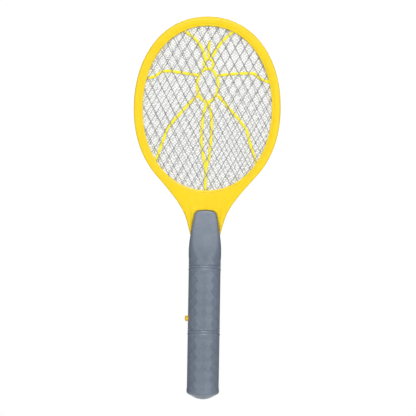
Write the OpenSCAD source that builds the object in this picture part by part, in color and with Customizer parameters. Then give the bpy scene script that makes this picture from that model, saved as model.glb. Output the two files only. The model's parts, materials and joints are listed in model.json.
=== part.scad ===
// Electric fly swatter: racket with three wire meshes on a round battery handle.
// Upright: +Z runs from the handle's end to the top of the head, the front looks towards -Y.

/* [Racket] */
// Length from the handle's end to the top of the head
total_len = 500; // [480:1:515]
// Half the width of the head
head_half_w = 95.9; // [90:0.1:100]
// Thickness of the yellow frame, front to back
frame_t = 13; // [12:0.5:16]
// Half the width of the window
window_half_w = 84.3; // [80:0.1:86]
// Half the height of the window
window_half_h = 107.25; // [100:0.25:109]

/* [Meshes] */
// Thickness of each mesh
mesh_t = 0.5; // [0.4:0.1:0.8]
// Width of a diamond of the two guard meshes
guard_cell_w = 12.5; // [10:0.1:16]
// Height of a diamond of the two guard meshes
guard_cell_h = 22.3; // [18:0.1:26]
// Width of the wire between two diamonds of a guard mesh
guard_wire = 0.8; // [0.7:0.1:1.4]
// Width of a diamond of the charged mesh
fine_cell_w = 14.8; // [12:0.1:20]
// Height of a diamond of the charged mesh
fine_cell_h = 10; // [8:0.1:14]
// Width of the wire between two diamonds of the charged mesh
fine_wire = 0.8; // [0.5:0.1:1]
// Gap that a spacer keeps between two meshes
mesh_gap = 2.8; // [2.5:0.1:3]
// Width of the spacer's insect-shaped ribs
rib_w = 3.6; // [2:0.1:4]

/* [Handle] */
// Radius of the handle
grip_r = 21.3; // [21:0.1:22]
// Wall of the handle's shells
wall = 2.3; // [2:0.1:2.5]
// Height of the lower double ring's middle
ring_low_z = 88.4; // [88:0.1:90]
// Height of the upper double ring's middle
ring_high_z = 173.1; // [165:0.1:180]
// Height of the tongues' tips
tongue_top = 247; // [245:1:250]

/* [Button] */
// Height of the button's axis
button_z = 105.6; // [105:0.1:107]
// Radius of the button
button_r = 4; // [3:0.1:4.2]
// How far the button stands out of the handle
button_proud = 3.7; // [2.5:0.1:4]
// How far the button presses in
button_travel = 2; // [1:0.1:2]

/* [Hidden] */
$fn = 48;

yellow = "#fcdc2d";
grey = "#7b8592";
steel = "#b9bdc1";

// Head and neck
head_z = 380;
head_up = total_len - head_z;
head_down = 117;
head_power = 2.1;
head_power_up = 2.13;
flare_start = -47;
neck_z = 215;
neck_half_w = 19.8;
tang_half_w = 13.4;
tang_z = 198;
window_z = 380.4;
window_power = 2.09;
seat = 5;
half_t = frame_t / 2;
fit_gap = 0.1;
stack_half = mesh_t * 1.5 + mesh_gap;
spacer_y = mesh_t / 2 + mesh_gap / 2;
guard_y = mesh_t + mesh_gap;
screw_angles = [10, 62, 118, 170, 222, 318];
frame_screw_in = 4.3;
lip_w = 2.7;
lip_y = 5.6;
seat_depth = 0.7;

// Handle
cavity_r = grip_r - wall;
shoulder_t = 2.3;
tongue_half_w = 14.5;
tongue_corner = 5;
tongue_tip_y = 8.8;
end_r = 26;
end_slope = 28.7;
end_corner = 3;
end_cone_r = grip_r - end_corner * (1 - sin(end_slope));
end_cone_z = end_r * (1 - cos(end_slope)) + (end_cone_r - end_r * sin(end_slope)) * tan(end_slope);
end_corner_z = end_cone_z + end_corner * cos(end_slope);

// Battery bay
cell_r = 7.25;
cell_len = 50.5;
cell_nub_r = 2.75;
cell_nub = 1.3;
cell_x = 7.5;
cell_y = 2;
bay_low = 16;
bay_high = 76;
plate_t = 0.4;
bulkhead_t = 2;
spring_len = bay_high - bay_low - 2 * plate_t - cell_len;
spring_wire_r = 0.4;

// Battery door
door_half_w = 15;
door_gap = 0.3;
door_y = 6;
door_top = 84;
rail_out = 1.2;

// Circuit board
board_y = 3.5;
board_t = 1.6;
board_half_w = 14;
board_low = 99;
board_high = 186;
lead_r = 0.65;

// Screws: positions as [x, z]
handle_screw_at = [[-11, 95], [11, 95], [0, 192], [0, 228]];
screw_r = 1.3;
screw_clear_r = 1.6;
screw_head_r = 2.5;
screw_head_t = 1.6;

// ---------- outlines in the X-Z plane ----------

function side(v) = v < 0 ? -1 : 1;

// One point of an oval whose sides are straighter than an ellipse's when power is over 2
function oval_point(a, b, power, z, t) =
    [a * side(cos(t)) * pow(abs(cos(t)), 2 / power),
     z + b * side(sin(t)) * pow(abs(sin(t)), 2 / power)];

function window_outline(out, count = 96) =
    [for (i = [0 : count - 1])
        oval_point(window_half_w + out, window_half_h + out, window_power, window_z, 360 * i / count)];

function bezier(p0, p1, p2, p3, count) =
    [for (i = [0 : count]) let (t = i / count, s = 1 - t)
        s * s * s * p0 + 3 * s * s * t * p1 + 3 * s * t * t * p2 + t * t * t * p3];

function arc(x, z, r, from, to, count) =
    [for (i = [0 : count]) let (t = from + (to - from) * i / count) [x + r * cos(t), z + r * sin(t)]];

// Right half of a symmetric outline, top to bottom, made whole
function mirrored(half) =
    concat(half, [for (i = [len(half) - 1 : -1 : 0]) [-half[i][0], half[i][1]]]);

// One point of the head's outline, drawn in by inset
function head_point(t, inset) = t >= 0 && t <= 180
    ? oval_point(head_half_w - inset, head_up - inset, head_power_up, head_z, t)
    : oval_point(head_half_w - inset, head_down - inset, head_power, head_z, t);

function head_side(count = 34) =
    [for (i = [0 : count]) let (t = 90 + (flare_start - 90) * (i + 0.5) / (count + 0.5))
        head_point(t, 0)];

function frame_outline() =
    mirrored(concat(
        head_side(),
        bezier(head_point(flare_start, 0), [30, 252], [27, 246], [neck_half_w, neck_z], 14),
        [[tang_half_w, neck_z], [tang_half_w, tang_z]]));

// Front view of the handle with its arched tongue, drawn in by inset
function handle_outline(inset) =
    let (w = tongue_half_w - inset, top = tongue_top - inset, middle = w - tongue_corner)
    mirrored(concat(
        [for (x = [0 : 0.25 : 0.75]) [x * middle, top - x * x * middle * middle / 92]],
        arc(middle, top - tongue_corner - middle * middle / 92, tongue_corner, 79, 11, 6),
        bezier([18.3 - inset, 221], [19 - inset, 216.5], [20.6 - inset, 209],
               [grip_r + 0.1 - inset, 195.5], 8),
        [[22.4 - inset, 192], [22.4 - inset, -1]]));

// Side view of the handle: how far the shells reach from the middle plane, drawn in by inset
function handle_profile(inset) =
    mirrored([
        [tongue_tip_y - inset - 0.9, tongue_top + 1], [tongue_tip_y - inset, tongue_top - 1],
        [9.4 - inset, 243], [22.4 - inset, 177.4], [22.4 - inset, -1]]);

// Extrudes an outline drawn in X-Z along Y, from y0 to y1
module slab(y0, y1) {
    translate([0, y1, 0]) rotate([90, 0, 0]) linear_extrude(y1 - y0) children();
}

// Extrudes an outline drawn in Y-Z along X, over the whole width
module across() {
    translate([-30, 0, 0]) rotate([90, 0, 90]) linear_extrude(60) children();
}

module rod_y(x, z, r, y0, y1) {
    translate([x, y0, z]) rotate([-90, 0, 0]) cylinder(r = r, h = y1 - y0);
}

module rod_x(x0, x1, y, z, r) {
    translate([x0, y, z]) rotate([0, 90, 0]) cylinder(r = r, h = x1 - x0);
}

// A box from its lowest and highest corners
module block(low, high) {
    translate(low) cube(high - low);
}

// ---------- yellow frame ----------

function frame_screw_at(t) = head_point(t, frame_screw_in);

// The front half of the frame; the rear half is its mirror image with screw holes
module frame_half() {
    difference() {
        slab(-half_t, 0) polygon(frame_outline());
        slab(-stack_half, 1) polygon(window_outline(seat));
        slab(-half_t - 1, -stack_half + 0.5) polygon(window_outline(0));
        // sunk lip round the window
        slab(-half_t - 1, -lip_y) polygon(window_outline(lip_w));
        // shallow seat for the handle's tongue
        intersection() {
            slab(-half_t - 1, -half_t + seat_depth) polygon(handle_outline(-0.9));
            block([-30, -half_t - 1, neck_z], [30, 0, tongue_top + 5]);
        }
        // neck pocket and the two wire channels of the tang
        slab(-4.2, 1) polygon([[-11, 233], [11, 233], [18, 262], [14, 268.6], [-14, 268.6], [-18, 262]]);
        for (s = [-1, 1])
            block([s * 7.5 - 3.5, -4.2, tang_z - 1], [s * 7.5 + 3.5, 1, 234]);
        rod_y(0, 228, screw_clear_r, -half_t - 1, 1);
    }
}

module frame_front() {
    color(yellow) difference() {
        frame_half();
        for (t = screw_angles) {
            p = frame_screw_at(t);
            rod_y(p[0], p[1], 1, -4.5, 1);
        }
    }
}

module frame_rear() {
    color(yellow) difference() {
        mirror([0, 1, 0]) frame_half();
        for (t = screw_angles) {
            p = frame_screw_at(t);
            rod_y(p[0], p[1], 1.2, -1, half_t + 1);
            rod_y(p[0], p[1], 2.1, 4.4, half_t + 1);
        }
    }
}

module frame_screws() {
    color(steel) for (t = screw_angles) {
        p = frame_screw_at(t);
        difference() {
            union() {
                rod_y(p[0], p[1], 1, -4.5, 4.6);
                rod_y(p[0], p[1], 1.9, 4.4, 5.8);
            }
            cross_slot(p[0], p[1], 5.8, 2.4, 0.6);
        }
    }
}

// Cross recess in a screw head whose top lies at y
module cross_slot(x, z, y, length, width) {
    block([x - length / 2, y - 0.9, z - width / 2], [x + length / 2, y + 1, z + width / 2]);
    block([x - width / 2, y - 0.9, z - length / 2], [x + width / 2, y + 1, z + length / 2]);
}

// ---------- meshes and spacers ----------

function turned(p, t) = [p[0] * cos(t) - p[1] * sin(t), p[0] * sin(t) + p[1] * cos(t)];

// Diamond holes on a staggered grid, turned by turn degrees, with wires crossing at knuckle
// (an offset from the window's centre)
module diamonds(cell_w, cell_h, wire, turn, knuckle) {
    half_w = cell_w / 2;
    half_h = cell_h / 2;
    // the wire's width taken off each diamond along both its diagonals
    slope = norm([half_w, half_h]);
    cut_w = half_w - wire / 2 * slope / half_h;
    cut_h = half_h - wire / 2 * slope / half_w;
    columns = ceil((window_half_w + abs(knuckle[0])) / half_w) + 4;
    rows = ceil((window_half_h + abs(knuckle[1])) / half_h) + 4;
    reach_w = window_half_w + half_w;
    reach_h = window_half_h + half_h;
    for (i = [-columns : columns], j = [-rows : rows]) {
        at = knuckle + turned([i * half_w, j * half_h], turn);
        if ((i + j) % 2 != 0 && norm([at[0] / reach_w, at[1] / reach_h]) < 1.03)
            translate(at + [0, window_z]) rotate(turn)
                polygon([[-cut_w, 0], [0, -cut_h], [cut_w, 0], [0, cut_h]]);
    }
}

module mesh_plate(y, cell_w, cell_h, wire, turn, knuckle, tab_x) {
    slab(y - mesh_t / 2, y + mesh_t / 2) {
        difference() {
            polygon(window_outline(seat - 0.8, 72));
            intersection() {
                polygon(window_outline(1.5, 72));
                diamonds(cell_w, cell_h, wire, turn, knuckle);
            }
        }
    }
    // solder tab down into the neck
    block([tab_x - 2, y - mesh_t / 2, 259], [tab_x + 2, y + mesh_t / 2, window_z - window_half_h - 3]);
}

module front_mesh() {
    color(steel) mesh_plate(-guard_y, guard_cell_w, guard_cell_h, guard_wire, -1.2, [28.7, 68.2], -8);
}

module centre_mesh() {
    color(steel) mesh_plate(0, fine_cell_w, fine_cell_h, fine_wire, -1.4, [0, 0], 5);
}

module rear_mesh() {
    color(steel) mesh_plate(guard_y, guard_cell_w, guard_cell_h, guard_wire, -4.2, [41.4, 68.4], 9);
}

// Centre lines of the ribs, as offsets from the window's centre
body_at = [0, 30];
body_half = [13.7, 21.8];
nose_at = [1, 58];
nose_half = [6.2, 6.8];
left_ribs = [
    [[-4, 64], [-7, 76], [-16, 89], [-31, 101]],
    [[-13, 43], [-36, 46], [-52, 47.6], [-63, 45], [-69, 40.5], [-80, 37.5]],
    [[-10.5, 18], [-25, 4], [-46, -20], [-52, -29], [-57, -43], [-66, -69]],
    [[0, 8.4], [-4.6, -6], [-6.4, -26], [-6.6, -46], [-4, -64], [-0.6, -79]]
];
right_ribs = [
    [[6, 67], [12, 79], [21, 90], [33, 101]],
    [[14, 43], [31, 45], [60, 46], [66, 42], [73, 37.5], [83, 35]],
    [[13.6, 17], [29, 0], [50, -25], [56, -43], [65, -71]],
    [[0.6, 8.4], [5, -6], [6.2, -26], [5.2, -46], [3.4, -64], [-0.6, -79]]
];
middle_ribs = [
    [[1, 65], [0.4, 77], [2.2, 88]],
    [[-0.6, -79], [-0.8, -93], [-1, -110]]
];

module rib(points) {
    for (i = [0 : len(points) - 2]) {
        step = points[i + 1] - points[i];
        translate(points[i]) rotate(atan2(step[1], step[0]))
            translate([0, -rib_w / 2]) square([norm(step), rib_w]);
        // rounds the outer side of the bend, a little inside the rib's edges
        translate(points[i]) circle(d = 0.94 * rib_w, $fn = 16);
    }
}

module loop_rib(at, half) {
    translate(at) difference() {
        polygon([for (t = [0 : 15 : 345]) [(half[0] + rib_w / 2) * cos(t), (half[1] + rib_w / 2) * sin(t)]]);
        polygon([for (t = [0 : 15 : 345]) [(half[0] - rib_w / 2) * cos(t), (half[1] - rib_w / 2) * sin(t)]]);
    }
}

module spacer_plate(y) {
    slab(y - mesh_gap / 2, y + mesh_gap / 2) {
        difference() {
            polygon(window_outline(seat - 0.8, 72));
            polygon(window_outline(0.6, 72));
        }
        intersection() {
            polygon(window_outline(2, 72));
            translate([0, window_z]) {
                loop_rib(body_at, body_half);
                loop_rib(nose_at, nose_half);
                for (points = concat(left_ribs, right_ribs, middle_ribs)) rib(points);
            }
        }
    }
}

module front_spacer() {
    color(yellow) spacer_plate(-spacer_y);
}

module rear_spacer() {
    color(yellow) spacer_plate(spacer_y);
}

// ---------- handle ----------

// Outside of the handle: turned body with domed end and two double rings, cut to the tongues
module handle_solid() {
    intersection() {
        rotate_extrude($fn = 96) polygon(concat(
            arc(0, end_r, end_r, -90, end_slope - 90, 5),
            arc(grip_r - end_corner, end_corner_z, end_corner, end_slope - 90, 0, 4),
            ring_notches(ring_low_z),
            ring_notches(ring_high_z),
            [[grip_r, tongue_top + 2], [0, tongue_top + 2]]));
        slab(-30, 30) polygon(handle_outline(0));
        across() polygon(handle_profile(0));
    }
}

function ring_notches(z) = [for (p = [
    [0, -2.3], [0.6, -2.1], [0.6, -1.2], [0, -1], [0, 1], [0.6, 1.2], [0.6, 2.1], [0, 2.3]
]) [grip_r - p[0], z + p[1]]];

module handle_cavity() {
    difference() {
        intersection() {
            union() {
                translate([0, 0, end_corner_z]) cylinder(r = cavity_r, h = tongue_top - end_corner_z);
                translate([0, 0, 2.6]) cylinder(r = 8, h = 8);
                translate([0, 0, 5.6]) cylinder(r = 13.5, h = 8);
            }
            slab(-30, 30) polygon(handle_outline(wall));
            across() polygon(handle_profile(wall));
        }
        block([-30, -half_t - fit_gap, neck_z - shoulder_t], [30, half_t + fit_gap, neck_z]);
    }
}

module handle_shell() {
    difference() {
        handle_solid();
        handle_cavity();
        block([-30, -half_t - fit_gap, neck_z - fit_gap], [30, half_t + fit_gap, tongue_top + 5]);
        block([-tang_half_w - fit_gap, -half_t - fit_gap, tang_z - 5],
              [tang_half_w + fit_gap, half_t + fit_gap, neck_z + 1]);
    }
}

// Space that the door takes out of the rear shell, or the door's own stretch of it
module door_region(gap) {
    block([-door_half_w - gap, door_y - gap, -1], [door_half_w + gap, 30, door_top + gap]);
    for (s = [-1, 1])
        block([s * (door_half_w + 0.1) - rail_out - gap, 10.5 - gap, -1],
              [s * (door_half_w + 0.1) + rail_out + gap, 11.2 + gap, 80 + gap]);
}

module screw_boss(at, r, y0, y1) {
    intersection() {
        rod_y(at[0], at[1], r, y0, y1);
        cylinder(r = grip_r - 0.6, h = tongue_top);
    }
}

module cell_space(gap) {
    for (s = [-1, 1])
        translate([s * cell_x, cell_y, bay_low]) cylinder(r = cell_r + gap, h = bay_high - bay_low);
}

// Bulkheads at the ends of the battery bay and two saddles between them
module bay_walls() {
    for (z = [bay_low - bulkhead_t, bay_high])
        intersection() {
            block([-30, -30, z], [30, cell_y + 6, z + bulkhead_t]);
            cylinder(r = cavity_r + 0.5, h = 120);
            union() {
                cylinder(r = cavity_r - 0.3, h = 120);
                block([-30, -30, 0], [30, 0, 120]);
            }
        }
    difference() {
        for (z = [32, 60])
            intersection() {
                block([-30, -30, z], [30, 0, z + 1.6]);
                cylinder(r = cavity_r + 0.5, h = 120);
            }
        cell_space(0.2);
    }
}

module front_posts() {
    for (i = [0 : 2]) screw_boss(handle_screw_at[i], 3, -30, -0.1);
    for (x = [-11.5, 11.5], z = [116, 182]) screw_boss([x, z], 2, -30, board_y);
}

module handle_front() {
    color(grey) difference() {
        union() {
            intersection() {
                handle_shell();
                block([-30, -30, -1], [30, 0, tongue_top + 5]);
            }
            bay_walls();
            front_posts();
            // boss in the tongue for the top screw
            intersection() {
                rod_y(0, 228, 4, -20, -half_t - fit_gap);
                across() polygon(handle_profile(0.5));
            }
        }
        for (i = [0 : 2]) rod_y(handle_screw_at[i][0], handle_screw_at[i][1], screw_r + 0.02, -11, 1);
        rod_y(0, 228, screw_r + 0.02, -10, 0);
        rod_x(-30, 0, 0, button_z, button_r + 0.25);
        lead_slots();
    }
}

// Slots in the bulkheads for the tabs of the contact plates
module lead_slots() {
    for (s = [-1, 1])
        block([s * cell_x - 1.7, cell_y + 3.4, bay_high - 1], [s * cell_x + 1.7, cell_y + 7, bay_high + 3]);
}

module rear_posts() {
    for (i = [0 : 2]) screw_boss(handle_screw_at[i], 3, 0.1, 30);
    for (x = [-11.5, 11.5], z = [116, 182]) screw_boss([x, z], 2, board_y + board_t, 30);
}

module handle_rear() {
    color(grey) difference() {
        union() {
            intersection() {
                handle_shell();
                block([-30, 0, -1], [30, 30, tongue_top + 5]);
            }
            rear_posts();
            intersection() {
                rod_y(0, 228, 4, half_t + fit_gap, 20);
                across() polygon(handle_profile(0.5));
            }
        }
        door_region(door_gap);
        for (at = handle_screw_at) {
            rod_y(at[0], at[1], screw_clear_r, -1, 30);
            rod_y(at[0], at[1], screw_head_r + 0.3, handle_head_y(at) - screw_head_t, 30);
        }
        rod_x(-30, 0, 0, button_z, button_r + 0.25);
    }
}

// Top of a handle screw's head, sunk below the shell's outside
function handle_head_y(at) = at[1] > 220 ? 10.6 : sqrt(grip_r * grip_r - at[0] * at[0]) - 2.4;

module handle_screws() {
    color(steel) for (at = handle_screw_at) {
        head_y = handle_head_y(at);
        difference() {
            union() {
                rod_y(at[0], at[1], screw_r, at[1] > 220 ? -9.8 : -10.5, head_y - 1);
                rod_y(at[0], at[1], screw_head_r, head_y - screw_head_t, head_y);
            }
            cross_slot(at[0], at[1], head_y, 3.2, 0.8);
        }
    }
}

// ---------- battery door ----------

module battery_door() {
    color(grey) difference() {
        intersection() {
            union() {
                difference() {
                    handle_solid();
                    handle_cavity();
                }
                door_rails();
            }
            door_region(0);
        }
        for (z = [62 : 2.6 : 73])
            block([-8, grip_r - 0.7, z], [8, 30, z + 1.2]);
    }
}

module door_rails() {
    for (s = [-1, 1])
        block([s * 14.6 - 1.6, 10.5, 22], [s * 14.6 + 1.6, 11.2, 80]);
}

// ---------- button and switch ----------

module power_button() {
    // domed cap on a stem, with the flange that keeps it in
    color("#e6be00") {
        rod_x(-grip_r - button_proud + 1.35, -16.4, 0, button_z, button_r);
        intersection() {
            rod_x(-grip_r - button_proud, -grip_r, 0, button_z, button_r);
            translate([-grip_r - button_proud + 6.5, 0, button_z]) sphere(r = 6.5);
        }
        rod_x(-17.5, -16.3, 0, button_z, 5.4);
    }
}

module switch_plunger() {
    color("#2b2b2b") rod_x(-16.3, -10.8, 0, button_z, 1.5);
}

module switch_body() {
    color("#3a3a3a") difference() {
        block([-12.8, -3.5, button_z - 3.5], [-5.8, board_y, button_z + 3.5]);
        rod_x(-13, -8.4, 0, button_z, 1.55);
    }
}

// ---------- electronics ----------

module circuit_board() {
    color("#2f7d4f") difference() {
        block([-board_half_w, board_y, board_low], [board_half_w, board_y + board_t, board_high]);
        block([-2.2, board_y - 1, 184], [2.2, board_y + 3, board_high + 1]);
    }
}

module transformer_core() {
    color("#33363a") difference() {
        block([-7, board_y - 11, 122], [7, board_y, 136]);
        block([-4.6, board_y - 12, 124.5], [4.6, board_y + 1, 133.5]);
    }
}

module transformer_winding() {
    color("#d9a441") block([-4.5, board_y - 12.5, 124.6], [4.5, board_y, 133.4]);
}

module film_capacitor(x, z, w, h, t) {
    difference() {
        block([x - w / 2, board_y - t, z - h / 2], [x + w / 2, board_y, z + h / 2]);
        for (s = [-1, 1])
            rod_y(x, z + s * (h / 2 + 1.2), 2.2, board_y - t - 1, board_y + 1);
    }
}

module storage_capacitor() {
    color("#a5402c") film_capacitor(-2.2, 172, 8, 18, 11);
}

module multiplier_capacitor_1() {
    color("#b5482f") film_capacitor(8.6, 150, 5, 12, 8);
}

module multiplier_capacitor_2() {
    color("#b5482f") film_capacitor(8.6, 167, 5, 12, 8);
}

// A part with a round body along Z and two bent legs down to the board
module axial_part(x, z, r, h) {
    y = board_y - r - 0.6;
    translate([x, y, z - h / 2]) cylinder(r = r, h = h);
    for (s = [-1, 1]) {
        translate([x, y, s > 0 ? z + h / 2 : z - h / 2 - 2]) cylinder(r = 0.3, h = 2, $fn = 16);
        rod_y(x, z + s * (h / 2 + 2), 0.36, y - 0.36, board_y);
    }
}

module diode_1() {
    color("#222428") axial_part(-10.5, 128, 1.3, 5);
}

module diode_2() {
    color("#222428") axial_part(-10.5, 142, 1.3, 5);
}

module diode_3() {
    color("#222428") axial_part(-10.5, 156, 1.3, 5);
}

module resistor_1() {
    color("#c9a36b") axial_part(-5, 149, 1.2, 6.5);
}

module resistor_2() {
    color("#c9a36b") axial_part(0, 149, 1.2, 6.5);
}

module resistor_3() {
    color("#c9a36b") axial_part(10.5, 128, 1.2, 6.5);
}

module transistor() {
    color("#1f1f22") {
        difference() {
            translate([5, board_y - 6, 107]) cylinder(r = 2.4, h = 4.8);
            block([0, board_y - 10, 106], [10, board_y - 7.2, 113]);
        }
        for (x = [3.7, 5, 6.3]) {
            translate([x, board_y - 6, 104]) cylinder(r = 0.3, h = 3, $fn = 16);
            rod_y(x, 104, 0.36, board_y - 6.36, board_y);
        }
    }
}

// ---------- cells, contacts and leads ----------

module cell(x, up) {
    low = up ? bay_high - plate_t - cell_len : bay_low + plate_t;
    translate([x, cell_y, low + (up ? 0 : cell_len)]) mirror([0, 0, up ? 0 : 1]) {
        cylinder(r = cell_r, h = cell_len - cell_nub);
        translate([0, 0, cell_len - cell_nub - 0.1]) cylinder(r = cell_nub_r, h = cell_nub + 0.1);
    }
}

module battery_left() {
    color("#3c6fb0") cell(-cell_x, true);
}

module battery_right() {
    color("#3c6fb0") cell(cell_x, false);
}

// Plate at the top of the bay with a tab up through the bulkhead
module top_contact(x) {
    color(steel) {
        block([x - 5, cell_y - 5, bay_high - plate_t], [x + 5, cell_y + 4, bay_high]);
        block([x - 1.5, cell_y + 3.6, bay_high - plate_t], [x + 1.5, cell_y + 4, bay_high + 6]);
    }
}

module contact_positive() {
    top_contact(-cell_x);
}

module contact_negative() {
    top_contact(cell_x);
}

module contact_bridge() {
    color(steel)
        block([-cell_x - 5, cell_y - 5, bay_low], [cell_x + 5, cell_y + 5, bay_low + plate_t]);
}

// Tube of radius r along a list of points, square to the first and last stretch
module tube(path, r, sides = 8) {
    last = len(path) - 1;
    heading = [for (i = [0 : last])
        let (d = path[min(i + 1, last)] - path[max(i - 1, 0)]) d / norm(d)];
    rings = [for (i = [0 : last])
        let (h = heading[i],
             u0 = abs(h[0]) < 0.9 ? cross(h, [1, 0, 0]) : cross(h, [0, 1, 0]),
             u = u0 / norm(u0),
             v = cross(h, u))
        for (k = [0 : sides - 1])
            path[i] + r * (u * cos(360 * k / sides) + v * sin(360 * k / sides))];
    skin = [for (i = [0 : last - 1], k = [0 : sides - 1])
        let (a = i * sides + k, b = i * sides + (k + 1) % sides)
        [a + sides, b + sides, b, a]];
    polyhedron(points = rings, faces = concat(skin,
        [[for (k = [0 : sides - 1]) k], [for (k = [sides - 1 : -1 : 0]) last * sides + k]]),
        convexity = 6);
}

// Lead along a Bezier curve that starts and ends with a short straight stretch
function lead_path(p0, p1, p2, p3, count = 10) =
    let (first = (p1 - p0) / norm(p1 - p0), last = (p2 - p3) / norm(p2 - p3))
    concat([p0], bezier(p0 + first, p1, p2, p3 + last, count), [p3]);

// Conical compression spring between z0 and z1, wide end at z0
module cell_spring(x, z0, z1) {
    turns = 4;
    step_count = turns * 12;
    rise = side(z1 - z0);
    path = [for (i = [0 : step_count])
        let (t = i / step_count, r = 4.6 - 2 * t,
             z = z0 + rise * (spring_wire_r + 0.02) + (z1 - z0 - rise * 2 * (spring_wire_r + 0.02)) * t)
        [x + r * cos(30 * i), cell_y + r * sin(30 * i), z]];
    color(steel) tube(path, spring_wire_r, 6);
}

module contact_spring_left() {
    cell_spring(-cell_x, bay_low + plate_t, bay_low + plate_t + spring_len);
}

module contact_spring_right() {
    cell_spring(cell_x, bay_high - plate_t, bay_high - plate_t - spring_len);
}

module battery_lead(s) {
    tube(lead_path([s * cell_x, cell_y + 3.8, bay_high + 6], [s * cell_x, cell_y + 3.8, bay_high + 13],
                   [s * 4, board_y - 6, board_low + 4], [s * 4, board_y, board_low + 4]), lead_r);
}

module battery_lead_positive() {
    color("red") battery_lead(-1);
}

module battery_lead_negative() {
    color("#222222") battery_lead(1);
}

// Lead from the board up a channel of the tang to a mesh's solder tab
module mesh_lead(x, tab_x, tab_y) {
    tube(concat(
        lead_path([x, board_y, 180], [x, board_y - 4, 180], [x, 0, 186], [x, 0, 200], 8),
        lead_path([x, 0, 225], [x, 0, 240], [tab_x, tab_y, 244], [tab_x, tab_y, 259], 8)), lead_r);
}

module front_mesh_lead() {
    color("red") mesh_lead(-7.5, -8, -guard_y);
}

module centre_mesh_lead() {
    color("white") mesh_lead(5.4, 5, 0);
}

module rear_mesh_lead() {
    color("#222222") mesh_lead(8.7, 9, guard_y);
}

frame_front();
frame_rear();
front_mesh();
centre_mesh();
rear_mesh();
front_spacer();
rear_spacer();
handle_front();
handle_rear();
battery_door();
power_button();
switch_body();
switch_plunger();
circuit_board();
transformer_core();
transformer_winding();
storage_capacitor();
multiplier_capacitor_1();
multiplier_capacitor_2();
diode_1();
diode_2();
diode_3();
resistor_1();
resistor_2();
resistor_3();
transistor();
battery_left();
battery_right();
contact_positive();
contact_negative();
contact_bridge();
contact_spring_left();
contact_spring_right();
battery_lead_positive();
battery_lead_negative();
front_mesh_lead();
centre_mesh_lead();
rear_mesh_lead();
handle_screws();
frame_screws();
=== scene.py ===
"""Electric fly swatter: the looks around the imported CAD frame. Lengths in the builders are millimetres."""
import json
import math

import bmesh
import bpy
import numpy as np
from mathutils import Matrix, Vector


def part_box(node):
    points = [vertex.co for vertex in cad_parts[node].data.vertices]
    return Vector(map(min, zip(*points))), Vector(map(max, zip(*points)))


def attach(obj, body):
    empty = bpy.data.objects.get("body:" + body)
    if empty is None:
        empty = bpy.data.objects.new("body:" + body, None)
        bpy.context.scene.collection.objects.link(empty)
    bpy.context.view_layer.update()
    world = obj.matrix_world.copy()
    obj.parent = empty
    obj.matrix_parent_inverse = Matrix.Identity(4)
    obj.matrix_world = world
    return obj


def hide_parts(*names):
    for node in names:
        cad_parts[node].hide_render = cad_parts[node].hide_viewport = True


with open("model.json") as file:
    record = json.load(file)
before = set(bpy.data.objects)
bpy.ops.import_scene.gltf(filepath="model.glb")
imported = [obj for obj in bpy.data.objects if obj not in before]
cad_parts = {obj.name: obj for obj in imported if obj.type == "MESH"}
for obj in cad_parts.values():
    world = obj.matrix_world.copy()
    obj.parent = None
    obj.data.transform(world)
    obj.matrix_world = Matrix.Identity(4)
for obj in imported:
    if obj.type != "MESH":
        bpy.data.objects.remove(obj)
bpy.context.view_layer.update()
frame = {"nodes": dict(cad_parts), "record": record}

MM = 0.001


def box_mm(node):
    low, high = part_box(node)
    return low / MM, high / MM


# ---------------------------------------------------------------- sizes, from the frame

frame_low, frame_high = box_mm("frame_front")
_, handle_high = box_mm("handle_front")
mesh_low, mesh_high = box_mm("front_mesh")
button_low, button_high = box_mm("power_button")

HEAD_HALF_W = frame_high.x
TOP_Z = frame_high.z
HALF_T = -frame_low.y
STACK_HALF = -mesh_low.y
MESH_T = mesh_high.y - mesh_low.y
GRIP_R = handle_high.x
TONGUE_TOP = handle_high.z

# The head's outline: an oval a little squarer than an ellipse, then a flare into the neck
HEAD_Z = 380.0
HEAD_UP = TOP_Z - HEAD_Z
HEAD_DOWN = 117.0
HEAD_POWER_UP = 2.13
HEAD_POWER_DOWN = 2.1
FLARE_START = -47.0
NECK_Z = 215.0
NECK_HALF_W = 19.8
TANG_HALF_W = 13.4
TANG_Z = frame_low.z
EDGE_FILLET = 2.6
CROWN = 0.28
FACE_Y = HALF_T - CROWN
PARTING_CHAMFER = 0.28

# The window and what is clamped round it
WINDOW_Z = 380.4
WINDOW_HALF_W = 84.3
WINDOW_HALF_H = 107.25
WINDOW_POWER = 2.09
SEAT = 5.0
STACK_OUT = 4.2
LIP_W = 2.7
LIP_Y = 5.6

# Screws in their wells: radii with clearance round the shank and round the head, and the head's thickness
FRAME_SHANK_R = 1.2
FRAME_WELL_R = 2.1
FRAME_HEAD_T = 1.4
HANDLE_SHANK_R = 1.6
HANDLE_WELL_R = 2.8
HANDLE_HEAD_T = 1.6

# Handle; (half depth, height) of the foot and the top of its sloped neck, seen from the side
WALL = 2.3
SLOPE_FOOT = (22.0, 179.4)
SLOPE_TOP = (9.4, 243.0)
SLOPE_BLEND = 0.7
RING_LOW_Z = 88.4
RING_HIGH_Z = 173.1
RING_MIDDLE = -0.4
END_R = 26.0
END_SLOPE = 28.7
END_CORNER = 4.0
SLOT_HALF_T = HALF_T + 0.1
DOOR_HALF_W = 15.0
DOOR_Y = 6.0
DOOR_TOP = 84.0
DOOR_GAP = 0.3
GROOVE_HALF_W = 8.0
GROOVE_DEPTH = 0.75
GROOVE_H = 1.3
SEAM_HALF_W = 0.25
SEAM_DEPTH = 0.55
BUTTON_R = 4.0
BUTTON_CLEARANCE = 0.25

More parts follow.
